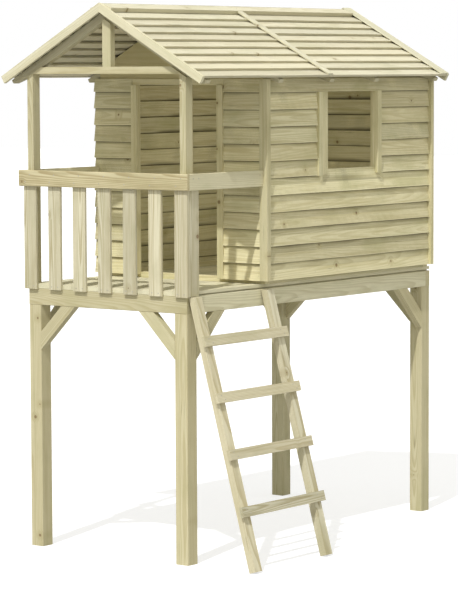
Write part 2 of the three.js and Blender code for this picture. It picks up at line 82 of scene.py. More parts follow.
def treated_pine(name, early_wood, late_wood, boards_carry_grain, ring_spacing=0.0052,
                 ring_strength=0.62, streak=1.0, tone_spread=0.2, lapping=None, lap_shade=0.42,
                 rafter_shade=0.0):
    wood = bpy.data.materials.new(name)
    wood.use_nodes = True
    nodes, links = wood.node_tree.nodes, wood.node_tree.links
    shader = nodes["Principled BSDF"]

    def feed(sockets, values):
        for socket, value in zip(sockets, values):
            if isinstance(value, bpy.types.NodeSocket):
                links.new(value, socket)
            else:
                socket.default_value = value

    def reckon(operation, *values):
        node = nodes.new("ShaderNodeMath")
        node.operation = operation
        feed(node.inputs, values)
        return node.outputs[0]

    def aim(operation, *values):
        node = nodes.new("ShaderNodeVectorMath")
        node.operation = operation
        feed(node.inputs, values)
        return node.outputs["Value" if operation == "DOT_PRODUCT" else "Vector"]

    def ramp(value, start, end):
        node = nodes.new("ShaderNodeMapRange")
        node.interpolation_type = "SMOOTHSTEP"
        feed(node.inputs, (value, start, end))
        return node.outputs[0]

    def between(lot, least, most):
        return reckon("MULTIPLY_ADD", lot, most - least, least)

    def stain(under, mask, strength, over):
        node = nodes.new("ShaderNodeMix")
        node.data_type = "RGBA"
        feed((node.inputs["Factor"], node.inputs["A"], node.inputs["B"]),
             (reckon("MULTIPLY", mask, strength), under, over))
        return node.outputs["Result"]

    def tinted(wood_colour, tint):
        return (*(part * share for part, share in zip(wood_colour, tint)), 1)

    def read(attribute, output, kind="GEOMETRY"):
        node = nodes.new("ShaderNodeAttribute")
        node.attribute_type = kind
        node.attribute_name = attribute
        return node.outputs[output]

    def streaks(along, across, detail=2.0, shift=0.0):
        stretched = aim("MULTIPLY", grain, (along, across, across))
        node = nodes.new("ShaderNodeTexNoise")
        node.inputs["Scale"].default_value = 1.0
        node.inputs["Detail"].default_value = detail
        links.new(aim("ADD", stretched, aim("ADD", board_shift, (shift, shift, shift))),
                  node.inputs["Vector"])
        return node.outputs["Fac"]

    # Where in its timber a point lies, and three numbers that differ from timber to timber.
    if boards_carry_grain:
        grain = read("grain", "Vector")
        board = read("board", "Fac")
    else:
        place = nodes.new("ShaderNodeTexCoord").outputs["Object"]
        from_corner = aim("SUBTRACT", place, read("grain_from", "Vector", "OBJECT"))
        long_way = read("grain_along", "Vector", "OBJECT")
        wide_way = read("grain_across", "Vector", "OBJECT")
        thick_way = aim("CROSS_PRODUCT", long_way, wide_way)
        gather = nodes.new("ShaderNodeCombineXYZ")
        for socket, way in zip(gather.inputs, (long_way, wide_way, thick_way)):
            links.new(aim("DOT_PRODUCT", from_corner, way), socket)
        grain = gather.outputs[0]
        board = read("board", "Fac", "OBJECT")
    lot_spread, shift_spread = 731.7, (371.0, 713.0, 113.0)
    split = nodes.new("ShaderNodeSeparateXYZ")
    links.new(grain, split.inputs[0])
    length, width, depth = split.outputs
    lot = nodes.new("ShaderNodeTexWhiteNoise")
    lot.noise_dimensions = "1D"
    links.new(reckon("MULTIPLY", board, lot_spread), lot.inputs["W"])
    lots = nodes.new("ShaderNodeSeparateColor")
    links.new(lot.outputs["Color"], lots.inputs[0])
    first, second, third = lots.outputs
    shift_node = nodes.new("ShaderNodeCombineXYZ")
    for socket, spread in zip(shift_node.inputs, shift_spread):
        links.new(reckon("MULTIPLY", board, spread), socket)
    board_shift = shift_node.outputs[0]

    # About one cell in four of a board's face holds a knot, and the rings swell round it.
    knot_cells_per_metre = 4.4
    cells_without_knot = 0.75
    smallest_knot, largest_knot, least_size = 0.004, 0.013, 0.0001
    halo_reach = 0.045
    knots = nodes.new("ShaderNodeTexVoronoi")
    knots.inputs["Scale"].default_value = 1.0
    knot_plane = aim("MULTIPLY", grain, (knot_cells_per_metre, knot_cells_per_metre, 0.0))
    links.new(aim("ADD", knot_plane, board_shift), knots.inputs["Vector"])
    knots.voronoi_dimensions = "2D"
    knot_distance = reckon("DIVIDE", knots.outputs["Distance"], knot_cells_per_metre)
    knot_lots = nodes.new("ShaderNodeSeparateColor")
    links.new(knots.outputs["Color"], knot_lots.inputs[0])
    knot_here = ramp(knot_lots.outputs[1], cells_without_knot, cells_without_knot + 0.04)
    knot_size = reckon("MULTIPLY", between(knot_lots.outputs[0], smallest_knot, largest_knot),
                       knot_here)
    knot = ramp(reckon("DIVIDE", knot_distance, reckon("ADD", knot_size, least_size)), 1.15, 0.75)
    knot_halo = reckon("MULTIPLY", ramp(knot_distance, halo_reach, smallest_knot), knot_here)

    # Growth rings are shells round a pith behind the board's face, which runs a little askew.
    ring_drift, ring_swell = 0.022, 0.008
    pith_aside = between(first, -0.04, 0.10)
    pith_behind = between(second, 0.02, 0.11)
    pith_askew = between(third, -0.025, 0.025)
    drift = reckon("MULTIPLY", reckon("SUBTRACT", streaks(1.3, 8.0), 0.5), ring_drift)
    off_pith = reckon("SUBTRACT", width, pith_aside)
    over_pith = reckon("ADD", reckon("ADD", depth, pith_behind),
                       reckon("MULTIPLY", length, pith_askew))
    radius = reckon("SQRT", reckon("ADD", reckon("MULTIPLY", off_pith, off_pith),
                                   reckon("MULTIPLY", over_pith, over_pith)))
    radius = reckon("ADD", reckon("ADD", radius, drift), reckon("MULTIPLY", knot_halo, ring_swell))
    year = reckon("FRACT", reckon("DIVIDE", radius, ring_spacing))
    late = reckon("MULTIPLY", ramp(year, 0.3, 0.85), ramp(year, 1.0, 0.9))

    fibre = streaks(22.0, 620.0, detail=3.0, shift=3.1)
    broad = streaks(2.2, 55.0, detail=3.0, shift=9.7)
    patches = streaks(3.0, 7.0, detail=3.0, shift=17.3)
    crack_line = ramp(streaks(3.2, 210.0, detail=1.0, shift=29.9), 0.70, 0.74)
    cracked_part = ramp(streaks(2.0, 12.0, detail=1.0, shift=41.1), 0.55, 0.66)
    crack = reckon("MULTIPLY", crack_line, cracked_part)

    streak_strength, patch_strength, warm_strength = 0.42 * streak, 0.35 * streak, 0.3
    halo_strength, knot_strength, crack_strength = 0.28, 0.78, 0.6
    green_patch = tinted(late_wood, (0.86, 0.96, 0.9))
    warm_timber = tinted(early_wood, (1.02, 0.93, 0.8))
    halo_brown = tinted(late_wood, (0.75, 0.68, 0.5))
    knot_brown = (0.19, 0.125, 0.055, 1)
    crack_brown = (0.1, 0.08, 0.04, 1)
    colour = stain(early_wood, late, ring_strength, late_wood)
    colour = stain(colour, ramp(broad, 0.42, 0.72), streak_strength, late_wood)
    colour = stain(colour, ramp(patches, 0.45, 0.75), patch_strength, green_patch)
    colour = stain(colour, second, warm_strength, warm_timber)
    colour = stain(colour, knot_halo, halo_strength, halo_brown)
    colour = stain(colour, knot, knot_strength, knot_brown)
    colour = stain(colour, crack, crack_strength, crack_brown)
    if lapping:
        # Outside, painted shade and a painted shadow line lie under the board above, and a painted
        # highlight lightens the lower lip. Inside, painted shade and a painted shadow line lie along
        # the top of the board below.
        exposure, cover, thickness = lapping
        lap_shade_brown = (0.12, 0.105, 0.05, 1)
        painted_shadow_black = (0.06, 0.052, 0.024, 1)
        shaded_brown = (0.33, 0.29, 0.14, 1)
        lip_highlight_colour = tinted(early_wood, (1.3, 1.3, 1.35))
        step_shade_strength, step_shadow_strength, lip_highlight_strength = 0.75, 0.75, 0.6
        lap_shade_spread = lap_shade_width * 2.2
        lip_highlight_band, lip_arris = 0.005, 0.0008
        slope = thickness / exposure
        through = reckon("ADD", reckon("SUBTRACT", depth, slope * (exposure + cover)),
                         reckon("MULTIPLY", width, slope))
        outside = ramp(through, thickness * 0.55, thickness * 0.85)
        inside = reckon("MULTIPLY", reckon("SUBTRACT", 1.0, outside),
                        ramp(width, cover - lap_shade_width * 0.3, cover))
        uneven = ramp(streaks(2.2, 4.0, detail=1.0, shift=53.0), 0.35, 0.68)
        shade_start = reckon("SUBTRACT", exposure - lap_shade_width,
                             reckon("MULTIPLY", uneven, lap_shade_spread))
        shade = reckon("MULTIPLY", ramp(width, shade_start, exposure - lap_shade_width / 2), outside)
        colour = stain(colour, shade, lap_shade, lap_shade_brown)
        # A painted shadow line runs just under the lower edge of the board above.
        lap_shadow_line = reckon("MULTIPLY", ramp(width, exposure - lap_shade_width / 2, exposure - lap_shade_width / 5),
                          ramp(width, exposure + lap_shade_width, exposure + lap_shade_width / 2))
        lap_shadow_strength = reckon("MULTIPLY", outside, between(uneven, lap_shade * 0.8, lap_shade * 2))
        colour = stain(colour, lap_shadow_line, lap_shadow_strength, painted_shadow_black)
        # Painted shade darkens the inside of each board just above the step onto the board below.
        step_shade_end = reckon("MULTIPLY_ADD", uneven, lap_shade_spread, cover + lap_shade_width)
        step_shade = reckon("MULTIPLY", ramp(width, step_shade_end, cover + lap_shade_width / 2), inside)
        colour = stain(colour, step_shade, reckon("MULTIPLY", uneven, step_shade_strength), lap_shade_brown)
        # A painted shadow line runs along the step onto the board below.
        step_shadow_line = reckon("MULTIPLY", ramp(width, cover + lap_shade_width * 0.7, cover + lap_shade_width * 0.3), inside)
        colour = stain(colour, step_shadow_line, step_shadow_strength, painted_shadow_black)
        colour = stain(colour, ramp(width, 0.001, -0.001), rafter_shade, shaded_brown)
        # A painted highlight lightens the lowest five millimetres of each board, its lower lip.
        lip_highlight = reckon("MULTIPLY", ramp(width, lip_highlight_band, 0.0), ramp(width, 0.0, lip_arris))
        colour = stain(colour, lip_highlight, lip_highlight_strength, lip_highlight_colour)
    mean_tone, fibre_tone = 0.96, 0.16
    tone = reckon("ADD", between(first, mean_tone - tone_spread / 2, mean_tone + tone_spread / 2),
                  reckon("MULTIPLY", reckon("SUBTRACT", fibre, 0.5), fibre_tone))
    toner = nodes.new("ShaderNodeVectorMath")
    toner.operation = "SCALE"
    links.new(colour, toner.inputs[0])
    links.new(tone, toner.inputs["Scale"])
    links.new(toner.outputs[0], shader.inputs["Base Color"])

    # Late wood is a little smoother and stands proud, and cracks are cut in.
    early_roughness, late_smoother = 0.86, 0.14
    late_proud, fibre_proud, crack_deep = 0.25, 0.5, 1.6
    links.new(reckon("SUBTRACT", early_roughness, reckon("MULTIPLY", late, late_smoother)),
              shader.inputs["Roughness"])
    height = reckon("ADD", reckon("MULTIPLY", late, late_proud),
                    reckon("MULTIPLY", fibre, fibre_proud))
    height = reckon("SUBTRACT", height, reckon("MULTIPLY", crack, crack_deep))
    relief = nodes.new("ShaderNodeBump")
    relief.inputs["Strength"].default_value = 0.55
    relief.inputs["Distance"].default_value = 0.0008
    links.new(height, relief.inputs["Height"])
    links.new(relief.outputs[0], shader.inputs["Normal"])
    shader.inputs["Specular IOR Level"].default_value = 0.25
    return wood


planed_pine = treated_pine("planed_pine", (0.565, 0.525, 0.34, 1), (0.375, 0.325, 0.165, 1), False)
golden_share = 0.6180339887
timbers_cut = 0


def next_timber():
    global timbers_cut
    timbers_cut += 1
    return timbers_cut * golden_share % 1


def ease_edges(timber, edge):
    worn_edge = timber.modifiers.new("worn_edge", "BEVEL")
    worn_edge.width = edge
    worn_edge.segments = 2
    worn_edge.limit_method = "ANGLE"
    worn_edge.angle_limit = math.radians(30)


def season(node, along, across, wood, edge=0.0015):
    # Gives a packed timber its finish, its worn edges and the way its grain runs.
    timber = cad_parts[node]
    timber["grain_from"] = [float(value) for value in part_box(node)[0]]
    timber["grain_along"] = [float(value) for value in Vector(along).normalized()]
    timber["grain_across"] = [float(value) for value in Vector(across).normalized()]
    timber["board"] = next_timber()
    for slot in timber.material_slots:
        slot.material = wood
    ease_edges(timber, edge)


for corner in ("front_left", "front_right", "rear_left", "rear_right"):
    season("stilt_" + corner, up, sideways, planed_pine)

# Platform frame: four rim beams on edge, laid on the stilts, and two joists between them, all
# planed like the stilts. The long side beams are of a paler timber.
rim_eased_edge = 0.005
for end in ("front", "rear"):
    season("rim_beam_" + end, sideways, up, planed_pine, rim_eased_edge)
pale_pine = treated_pine("pale_pine", (0.70, 0.665, 0.46, 1), (0.50, 0.45, 0.27, 1), False)
for side in ("left", "right"):
    season("rim_beam_" + side, ahead, up, pale_pine, rim_eased_edge)
for joist in ("joist_1", "joist_2"):
    season(joist, sideways, up, planed_pine)

# Braces: short offcuts at forty-five degrees in each corner under the platform, sawn flat at
# both ends and screwed to a stilt and to the beam above it.
for side, lean in (("left", 1), ("right", -1)):
    for end in ("front", "rear"):
        season(f"brace_across_{end}_{side}", (lean, 0, 1), (-lean, 0, 1), planed_pine)
for end, lean in (("front", 1), ("rear", -1)):
    for side in ("left", "right"):
        season(f"brace_along_{end}_{side}", (0, lean, 1), (0, -lean, 1), planed_pine)

# Floor: eleven tongue-and-groove boards that run from the veranda to the rear wall, each with
# chamfered top edges that meet as a V groove. The outer boards' rebates show over the rim.
board_pine = treated_pine("board_pine", (0.70, 0.67, 0.48, 1), (0.50, 0.455, 0.27, 1), True)
floor_board_count = 11
floor_board_width = (deck_high[0] - deck_low[0]) / floor_board_count
floor_board_depth = deck_high[2] - deck_low[2]
groove_half = 0.0025
groove_depth = 0.004
groove_foot = floor_board_depth - groove_depth
rebate_high = 0.009
rebate_deep = 0.020
floor_eased_edge = 0.0006


def timber_pile():
    pile = bmesh.new()
    pile.verts.layers.float_vector.new("grain")
    pile.verts.layers.float.new("board")
    return pile


def lay_timber(pile, start, along, across, outward, outline, length, slices=1, wave=0.0,
               grain_in_outline=False, grain_shift=0.0):
    # Draws one timber's outline along its length, and marks where each corner lies in the grain.
    grain_layer = pile.verts.layers.float_vector["grain"]
    board_layer = pile.verts.layers.float["board"]
    board = next_timber()
    rings = []
    for step in range(slices + 1):
        run = length * step / slices
        ring = []
        for a, b in outline:
            point = start + along * run + across * a + outward * b
            if wave:
                # Each board wanders in its own way across its width, and bows half as much.
                wander = noise.noise(Vector((run * 2.3 + board * 91, a * 9, board * 37)))
                bow = noise.noise(Vector((run * 1.6 - board * 53, a * 5, board * 71)))
                point += across * wander * wave + outward * bow * wave / 2
            vertex = pile.verts.new(point)
            vertex[grain_layer] = (a, b, run) if grain_in_outline else (run, a + grain_shift, b)
            vertex[board_layer] = board
            ring.append(vertex)
        rings.append(ring)
    for near, far in zip(rings, rings[1:]):
        for index in range(len(outline)):
            after = (index + 1) % len(outline)
            pile.faces.new((near[index], near[after], far[after], far[index]))
    pile.faces.new(rings[0])
    pile.faces.new(rings[-1])


def nail_up(pile, name, wood, nodes, edge=0.0012):
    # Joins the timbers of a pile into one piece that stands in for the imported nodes, if any.
    bmesh.ops.recalc_face_normals(pile, faces=pile.faces[:])
    mesh = bpy.data.meshes.new(name)
    pile.to_mesh(mesh)
    pile.free()
    mesh.materials.append(wood)
    made = bpy.data.objects.new(name, mesh)
    bpy.context.scene.collection.objects.link(made)
    ease_edges(made, edge)
    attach(made, "root")
    if nodes:
        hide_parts(*nodes)


floor = timber_pile()
for index in range(floor_board_count):
    left = groove_half if index else 0
    right = floor_board_width - (groove_half if index < floor_board_count - 1 else 0)
    foot = [(0, 0), (floor_board_width, 0)]
    if index == 0:
        foot = [(0, rebate_high), (rebate_deep, rebate_high), (rebate_deep, 0),
                (floor_board_width, 0)]
    if index == floor_board_count - 1:
        foot = [(0, 0), (floor_board_width - rebate_deep, 0),
                (floor_board_width - rebate_deep, rebate_high), (floor_board_width, rebate_high)]
    section = foot + [(floor_board_width, groove_foot), (right, floor_board_depth),
                      (left, floor_board_depth), (0, groove_foot)]
    lay_timber(floor, Vector((deck_low[0] + index * floor_board_width, deck_low[1], deck_low[2])),
               ahead, sideways, up, section, deck_high[1] - deck_low[1], slices=8)
nail_up(floor, "deck_floor", board_pine, ["floor_boards"], edge=floor_eased_edge)

# Side walls: factory-made panels of lapped boards nailed to a stud frame. Each board leans out
# over the one below it, and its lower edge wanders by a millimetre or two.
siding_exposure = 0.101
siding_width = 0.137
siding_thickness = 0.015
siding_rise = siding_thickness * siding_width / siding_exposure
siding_face = siding_rise + siding_thickness
siding_rows = 12
siding_clear_of_floor = 0.020
cladding_pine = treated_pine("cladding_pine", (0.655, 0.61, 0.385, 1), (0.42, 0.365, 0.175, 1), True,
                             ring_spacing=0.0065, ring_strength=0.45, streak=1.35, tone_spread=0.3,
                             lapping=(siding_exposure, siding_width - siding_exposure,
                                      siding_thickness))
wall_overhang = 0.025
wall_height = 1.211
veranda_depth = 0.715
rear_margin = 0.065
wall_plane = (deck_high[0] - deck_low[0]) / 2 + wall_overhang
left_x = middle_x - wall_plane
right_x = middle_x + wall_plane
floor_top = deck_high[2]
siding_foot = floor_top + siding_clear_of_floor
wall_top = floor_top + wall_height
cabin_front = front_y + veranda_depth
cabin_rear = deck_high[1] - rear_margin
board_slice = 0.07
board_wander = 0.0022
stick_slice = 0.25
# Sticks' grain starts below nought, so no painted lap shade or highlight reaches them.
clear_of_lap_marks = -0.2


def lapped_row(pile, row, corner, along, outward, length):
    # The top row is cut off level with the wall.
    head = min(siding_width, wall_top - siding_foot - row * siding_exposure)
    top = siding_rise * (1 - head / siding_width)
    section = [(0, siding_rise), (head, top), (head, top + siding_thickness), (0, siding_face)]
    start = corner + up * (siding_foot + row * siding_exposure)
    lay_timber(pile, start, along, up, outward, section, length,
               slices=max(2, int(length / board_slice)), wave=board_wander)


def stick(pile, low, high):
    size = Vector(high) - Vector(low)
    spans = sorted(((size.x, 0), (size.y, 1), (size.z, 2)), reverse=True)
    axes = [sideways, ahead, up]
    long_axis, wide_axis, thin_axis = (axes[index] for _, index in spans)
    length, wide, thin = (span for span, _ in spans)
    lay_timber(pile, Vector(low), long_axis, wide_axis, thin_axis,
               [(0, 0), (wide, 0), (wide, thin), (0, thin)], length,
               slices=max(1, int(length / stick_slice)), grain_shift=clear_of_lap_marks)


stud_width = 0.045
stud_depth = 0.045
plate_depth = 0.034
stud_first, stud_last = cabin_front + stud_depth, cabin_rear - stud_depth
corner_batten_width = 0.058
corner_batten_proud = 0.010
corner_batten_face = siding_face + corner_batten_proud
rear_batten_depth = 0.050
rear_batten_width = 0.030
batten_start = cabin_rear - rear_batten_width


def plates(pile, low, high):
    for foot, head in ((floor_top, floor_top + plate_depth), (wall_top - plate_depth, wall_top)):
        stick(pile, (*low, foot), (*high, head))


def studs(pile, low, high, run, starts):
    for start in starts:
        foot, head = [*low, floor_top + plate_depth], [*high, wall_top - plate_depth]
        foot[run], head[run] = start, start + stud_width
        stick(pile, foot, head)


def side_frame(pile, side, stud_starts):
    inner, outer = sorted((side * (wall_plane - stud_depth), side * wall_plane))
    low, high = (middle_x + inner, stud_first), (middle_x + outer, stud_last)
    plates(pile, low, high)
    studs(pile, low, high, 1, stud_starts)


def battens(pile, side, front_near, front_far):
    for low, high, near, far in (
            (corner_batten_face - corner_batten_width, corner_batten_face, front_near, front_far),
            (0, rear_batten_depth, batten_start, cabin_rear)):
        ends = sorted((side * (wall_plane + low), side * (wall_plane + high)))
        stick(pile, (middle_x + ends[0], near, siding_foot), (middle_x + ends[1], far, wall_top))


window_low_row = 5
window_head_row = 11
window_from_corner = 0.825
window_width = 0.448
window_post = 0.068
window_post_proud = 0.029
low_post_set_back = 0.001
window_strip = 0.042
window_strip_proud = 0.041
under_lap = 0.002
boards_past_corner = 0.015
batten_past_corner = 0.037
batten_before_wall = 0.002
window_middle = cabin_front + window_from_corner
window_half = window_width / 2
strip_outer = (window_middle - window_half - window_post - window_strip,
               window_middle + window_half + window_post + window_strip)
window_foot = siding_foot + window_low_row * siding_exposure
window_sill = window_foot + siding_width
window_head = siding_foot + window_head_row * siding_exposure
right_wall = timber_pile()
for row in range(siding_rows):
    stretches = [(cabin_front - boards_past_corner, batten_start)]
    if window_low_row < row < window_head_row:
        stretches = [(cabin_front - boards_past_corner, strip_outer[0]),
                     (strip_outer[1], batten_start)]
    for start, end in stretches:
        lapped_row(right_wall, row, Vector((right_x, start, 0)), ahead, sideways, end - start)
    if row == window_low_row:
        # No board covers this one's top edge under the window, so no painted lap shade lies there.
        strip_cover = 0.02
        grain_layer = right_wall.verts.layers.float_vector["grain"]
        for vertex in right_wall.verts:
            run, across, deep = vertex[grain_layer]
            under_window = strip_outer[0] + strip_cover < vertex.co.y < strip_outer[1] - strip_cover
            if under_window and vertex.co.z > window_foot + siding_width / 2:
                vertex[grain_layer] = (run, siding_exposure - 2 * lap_shade_width - under_lap, deep)
for start, end in ((strip_outer[0], strip_outer[0] + window_strip),
                   (strip_outer[1] - window_strip, strip_outer[1])):
    stick(right_wall, (right_x, start, window_sill - siding_width + siding_exposure - under_lap),
          (right_x + window_strip_proud, end, window_head))
for start, proud in ((window_middle - window_half - window_post, window_post_proud),
                     (window_middle + window_half + window_post + window_strip, 0)):
    stick(right_wall, (right_x - stud_depth, start, window_sill - plate_depth),
          (right_x + proud, start + window_post, window_head))
    stick(right_wall, (right_x - stud_depth, start, floor_top + plate_depth),
          (right_x - low_post_set_back, start + window_post, window_sill - plate_depth))
side_frame(right_wall, 1, (stud_first, stud_last - stud_width))
battens(right_wall, 1, cabin_front - batten_past_corner, cabin_front - batten_before_wall)
nail_up(right_wall, "window_wall", cladding_pine, ["right_wall"])

left_boards_behind_batten = 0.033
left_middle_share = 0.462
left_wall = timber_pile()
left_start = cabin_front + left_boards_behind_batten
for row in range(siding_rows):
    lapped_row(left_wall, row, Vector((left_x, left_start, 0)), ahead, -sideways,
               batten_start - left_start)
left_middle_stud = stud_first + left_middle_share * (stud_last - stud_first)
side_frame(left_wall, -1, (stud_first, left_middle_stud, stud_last - stud_width))
battens(left_wall, -1, cabin_front - batten_before_wall, left_start)
nail_up(left_wall, "plain_wall", cladding_pine, ["left_wall"])

# End walls: the same lapped panels across the cabin. The front one has an open doorway between
# two upright trims, with no door, that reaches up to the panel's top plate.
door_off_middle = 0.013
door_middle = middle_x - door_off_middle
doorway_half = 0.3075
door_left = door_middle - doorway_half
door_right = door_middle + doorway_half
door_trim = 0.043
door_trim_proud = 0.038
door_stud_set_back = 0.035
head_board_proud = 0.022
head_board_below_plate = 0.002
head_board_foot = wall_top - plate_depth - head_board_below_plate
front_wall = timber_pile()
front_inside = cabin_front + stud_depth
plates(front_wall, (left_x, cabin_front), (right_x, front_inside))
for row in range(siding_rows):
    for start, end in ((left_x - siding_face, door_left - door_trim),
                       (door_right + door_trim, right_x + corner_batten_face - corner_batten_width)):
        lapped_row(front_wall, row, Vector((start, cabin_front, 0)), sideways, -ahead, end - start)
stick(front_wall, (door_left - door_trim, cabin_front - head_board_proud, head_board_foot),
      (door_right + door_trim, cabin_front, wall_top))
for start in (door_left - door_trim, door_right):
    stick(front_wall, (start, cabin_front - door_trim_proud, siding_foot),
          (start + door_trim, cabin_front, head_board_foot))
studs(front_wall, (left_x, cabin_front), (right_x, front_inside), 0,
      (left_x, door_left - door_stud_set_back - stud_width, door_right + door_stud_set_back,
       right_x - stud_width))
nail_up(front_wall, "door_wall", cladding_pine, ["front_wall"])

rear_wall = timber_pile()
for row in range(siding_rows):
    lapped_row(rear_wall, row, Vector((left_x, cabin_rear, 0)), sideways, ahead, 2 * wall_plane)
rear_inside = cabin_rear - stud_depth
rear_studs = [middle_x + along for along in (
    -wall_plane + stud_width / 2, -wall_plane / 2, wall_plane / 2, wall_plane - stud_width / 2)]
plates(rear_wall, (left_x, rear_inside), (right_x, cabin_rear))
studs(rear_wall, (left_x, rear_inside), (right_x, cabin_rear), 0,
      [centre - stud_width / 2 for centre in rear_studs])
nail_up(rear_wall, "back_wall", cladding_pine, ["rear_wall"])

# Gables: plain boarded triangles of the same pine over the two end walls, sawn to the underside
# of the roof. They stand over the wall panels and lie in the roof's shade.
gable_pine = treated_pine("gable_pine", (0.56, 0.50, 0.28, 1), (0.42, 0.36, 0.165, 1), False)
for gable in ("front_gable", "rear_gable"):
    season(gable, sideways, up, gable_pine)

# Veranda frame: two posts at the front corners, cut to the roof's slope, a tie beam between
# them and a king post that carries the ridge.
for side in ("left", "right"):
    season("veranda_post_" + side, up, sideways, planed_pine)
season("gable_tie_beam", sideways, up, planed_pine)
season("king_post", up, sideways, planed_pine)

# Railing: seven upright boards behind a front rail, a rail on each side and a board round each
# corner, all planed with eased edges. The front rail is darker, with broad flat-sawn rings.
trim_pine = treated_pine("trim_pine", (0.62, 0.583, 0.418, 1), (0.35, 0.295, 0.15, 1), False,
                         ring_spacing=0.0075, ring_strength=0.7)
rail_pine = treated_pine("rail_pine", (0.54, 0.49, 0.305, 1), (0.24, 0.18, 0.075, 1), False,
                         ring_spacing=0.008, ring_strength=0.68)
season("front_rail", sideways, up, rail_pine)
for side in ("left", "right"):
    season("side_rail_" + side, ahead, up, pale_pine)
    season("corner_board_" + side, up, ahead, trim_pine)
pickets = ["picket_%d" % number for number in range(1, 8)]
for picket in pickets:
    season(picket, up, sideways, trim_pine)

# Roof: two half panels on each slope, of overlapping boards nailed across rafters whose tails
# show under the eaves. Rain and sun have left these boards the palest.
roof_pitch = math.radians(29.1)
slope_length = 0.869
roof_rows = 10
roof_board_width = 0.104
roof_board_thickness = 0.015
roof_exposure = slope_length / roof_rows
roof_rise = roof_board_thickness * roof_board_width / roof_exposure
deck_cover = roof_rise + roof_board_thickness
roof_pine = treated_pine("roof_pine", (0.66, 0.63, 0.475, 1), (0.49, 0.445, 0.29, 1), True,
                         lapping=(roof_exposure, roof_board_width - roof_exposure,
                                  roof_board_thickness), lap_shade=0.2, rafter_shade=0.45)
ridge_board_lift = 0.013
rear_lath_cover = 0.068
ridge_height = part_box("barge_board_front_left")[1][2]
roof_past_front = 0.030
roof_past_rear = 0.020
roof_joint = front_y + 1.195
roof_slices = 18
roof_panels = {
    "front": (front_y - roof_past_front, roof_joint),
    "rear": (roof_joint, cabin_rear + roof_past_rear),
}
rafter_depth = 0.050
rafter_width = 0.045
tail_depth = 0.026
tail_set_back = 0.008
tail_arris = 0.006
tail_taper = 0.15
past_ridge = 0.1
first_rafter = 0.015
joint_rafters = (1.150, 1.230)
last_rafter = 2.360
middle_share = 0.42
middle_rafter = joint_rafters[1] + middle_share * (last_rafter - joint_rafters[1])
rafters = {
    "front": (first_rafter, veranda_depth, joint_rafters[0]),
    "rear": (joint_rafters[1], middle_rafter, last_rafter),
}
slopes = ((-1, "left"), (1, "right"))


def slope_frame(side):
    climb = Vector((-side * math.cos(roof_pitch), 0, math.sin(roof_pitch)))
    outward = Vector((side * math.sin(roof_pitch), 0, math.cos(roof_pitch)))
    eave = Vector((middle_x, 0, ridge_height)) - climb * slope_length - outward * deck_cover
    return eave, climb, outward


def saw_at_ridge(pile, side):
    everything = pile.verts[:] + pile.edges[:] + pile.faces[:]
    bmesh.ops.bisect_plane(pile, geom=everything, plane_co=(middle_x, 0, 0),
                           plane_no=(-side, 0, 0), clear_outer=True)
    sawn_edges = [edge for edge in pile.edges if edge.is_boundary]
    bmesh.ops.holes_fill(pile, edges=sawn_edges, sides=0)


for side, label in slopes:
    eave, climb, outward = slope_frame(side)
    for part, (start, end) in roof_panels.items():
        panel = timber_pile()
        for row in range(roof_rows):
            lift, length = 0, end - start
            if row == roof_rows - 1:
                lift = ridge_board_lift
                length -= rear_lath_cover if part == "rear" else 0
            section = [(0, roof_rise), (roof_board_width, 0),
                       (roof_board_width, roof_board_thickness + lift), (0, deck_cover + lift)]
            lay_timber(panel, eave + ahead * start + climb * (row * roof_exposure), ahead, climb,
                       outward, section, length, slices=roof_slices, wave=board_wander)
        for place in rafters[part]:
            # The rafter before the joint stops at the wall and has no tail.
            tail = tail_set_back
            if place == joint_rafters[0]:
                tail = slope_length - wall_plane / math.cos(roof_pitch)
            section = [(tail, 0), (tail, -tail_depth + tail_arris), (tail + tail_arris, -tail_depth),
                       (tail + tail_taper, -rafter_depth), (slope_length + past_ridge, -rafter_depth),
                       (slope_length + past_ridge, 0)]
            lay_timber(panel, eave + ahead * (front_y + place), ahead, climb, outward, section,
                       rafter_width, grain_in_outline=True)
        saw_at_ridge(panel, side)
        nail_up(panel, f"{part}_roof_{label}", roof_pine, [f"roof_panel_{part}_{label}"])

# Barge boards and laths: narrow planed boards up the gables' edges, a lath over the joint of the
# two half panels on each slope that ends under the ridge board, and one over the rear edge.
edge_pine = treated_pine("edge_pine", (0.66, 0.63, 0.455, 1), (0.49, 0.445, 0.27, 1), False)
lath_pine = treated_pine("lath_pine", (0.69, 0.665, 0.50, 1), (0.53, 0.485, 0.32, 1), True)
lath_eased_edge = 0.0015
lath_wander = 0.001
joint_lath_width = 0.046
lath_thickness = 0.011
lath_under_ridge_board = 0.004
joint_lath_length = (roof_rows - 1) * roof_exposure + lath_under_ridge_board
rear_lath_overhang = 0.018
rear_lath_width = rear_lath_cover + rear_lath_overhang
rear_lath_thickness = 0.006
rear_lath_past_ridge = 0.02


def lath_section(width, thickness):
    return [(0, 0), (width, 0), (width, thickness), (0, thickness)]


for side, label in slopes:
    eave, climb, outward = slope_frame(side)
    for end in ("front", "rear"):
        season(f"barge_board_{end}_{label}", climb, outward, edge_pine)
    joint_lath = timber_pile()
    lay_timber(joint_lath, eave + ahead * (roof_joint - joint_lath_width / 2) + outward * deck_cover,
               climb, ahead, outward, lath_section(joint_lath_width, lath_thickness),
               joint_lath_length, slices=12, wave=lath_wander)
    nail_up(joint_lath, "joint_lath_" + label, lath_pine, ["roof_cover_strip_" + label],
            edge=lath_eased_edge)
    rear_lath = timber_pile()
    rear_start = roof_panels["rear"][1] - rear_lath_cover
    lay_timber(rear_lath, eave + ahead * rear_start + outward * deck_cover, climb, ahead, outward,
               lath_section(rear_lath_width, rear_lath_thickness),
               slope_length + rear_lath_past_ridge)
    saw_at_ridge(rear_lath, side)
    nail_up(rear_lath, "rear_lath_" + label, lath_pine, [], edge=lath_eased_edge)

